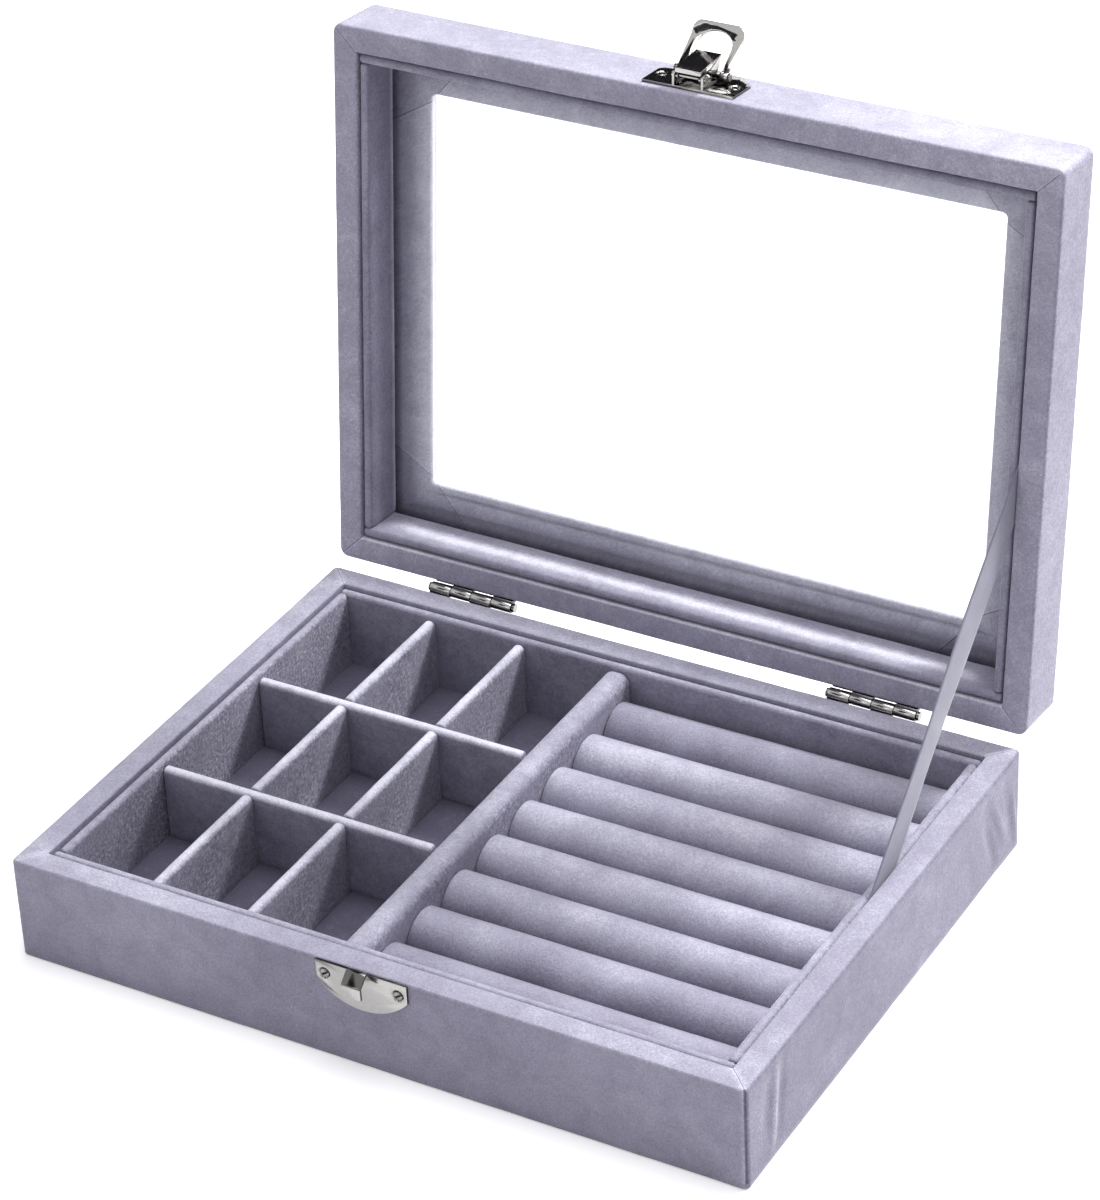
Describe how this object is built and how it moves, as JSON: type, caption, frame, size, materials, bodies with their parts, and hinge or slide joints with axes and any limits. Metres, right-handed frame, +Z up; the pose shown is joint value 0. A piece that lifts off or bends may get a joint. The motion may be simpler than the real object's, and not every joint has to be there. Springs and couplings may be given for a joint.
{
  "type": "ring display box",
  "caption": "Velvet-covered hinged box with a window lid, ring rolls beside small compartments, a ribbon stay and a draw latch.",
  "frame": {"origin": "centre of the base's underside, on the surface that the box stands on", "axes": "+X to the right along the box's width, +Y to the hinged back, +Z up"},
  "size_m": [0.2, 0.1937, 0.19],
  "materials": {
    "velvet": "matte",
    "velvet_pads": "matte",
    "velvet_rolls": "matte",
    "foam": "matte",
    "ribbon": "satin",
    "glass": "gloss",
    "card": "matte",
    "fibreboard": "matte",
    "screws": "satin",
    "hinge_steel": "polished",
    "latch_steel": "satin"
  },
  "bodies": {
    "base": {"base_front_board": "fibreboard", "base_back_board": "fibreboard", "base_left_board": "fibreboard", "base_right_board": "fibreboard", "base_bottom_board": "fibreboard", "base_velvet": "velvet", "bottom_cover": "card", "base_liner_front": "velvet_pads", "base_liner_back": "velvet_pads", "base_liner_left": "velvet_pads", "base_liner_right": "velvet_pads", "compartment_floor": "velvet", "roll_bed": "card", "centre_partition": "velvet_pads", "long_divider_front": "velvet_pads", "long_divider_back": "velvet_pads", "short_divider_front_left": "velvet_pads", "short_divider_front_right": "velvet_pads", "short_divider_middle_left": "velvet_pads", "short_divider_middle_right": "velvet_pads", "short_divider_back_left": "velvet_pads", "short_divider_back_right": "velvet_pads", "ring_roll_1": "velvet_rolls", "ring_roll_2": "velvet_rolls", "ring_roll_3": "velvet_rolls", "ring_roll_4": "velvet_rolls", "ring_roll_5": "velvet_rolls", "ring_roll_6": "velvet_rolls", "ring_roll_7": "velvet_rolls", "ring_roll_8": "velvet_rolls", "roll_foam_cores": "foam", "keeper_plate": "latch_steel", "keeper_screws": "screws", "hinge_leaf_base_left": "hinge_steel", "hinge_leaf_base_right": "hinge_steel", "base_hinge_screws": "screws", "hinge_pin_left": "hinge_steel", "hinge_pin_right": "hinge_steel", "ribbon_stay": "ribbon"},
    "lid": {"lid_front_board": "fibreboard", "lid_back_board": "fibreboard", "lid_left_board": "fibreboard", "lid_right_board": "fibreboard", "lid_window_board": "fibreboard", "glass_pane": "glass", "lid_velvet": "velvet", "lid_liner_front": "velvet_pads", "lid_liner_back": "velvet_pads", "lid_liner_left": "velvet_pads", "lid_liner_right": "velvet_pads", "hinge_leaf_lid_left": "hinge_steel", "hinge_leaf_lid_right": "hinge_steel", "lid_hinge_screws": "screws", "hasp_plate": "latch_steel", "hasp_screws": "screws", "lever_pin": "latch_steel"},
    "hasp_lever": {"hasp_lever": "latch_steel"},
    "loop_pin": {"loop_pin": "latch_steel"},
    "hasp_loop": {"hasp_loop": "latch_steel"}
  },
  "joints": [
    {"name": "lid_hinge", "type": "hinge", "parent": "base", "child": "lid", "pos_m": [0, 0.0768, 0.02875], "axis": [1, 0, 0], "range_deg": [0, 96], "deforming": ["ribbon_stay"]},
    {"name": "lever_hinge", "type": "hinge", "parent": "lid", "child": "hasp_lever", "pos_m": [0, 0.09644, 0.18264], "axis": [-1, 0, 0], "range_deg": [-90, 0]},
    {"name": "loop_pin_turn", "type": "hinge", "parent": "hasp_lever", "child": "loop_pin", "pos_m": [0, 0.10309, 0.18083], "axis": [1, 0, 0], "range_deg": [-90, 0]},
    {"name": "loop_hinge", "type": "hinge", "parent": "loop_pin", "child": "hasp_loop", "pos_m": [0, 0.10309, 0.18083], "axis": [1, 0, 0], "range_deg": [-46, 135]}
  ],
  "couplings": [
    {"joint": "loop_pin_turn", "follows": "lever_hinge", "ratio": 1}
  ]
}
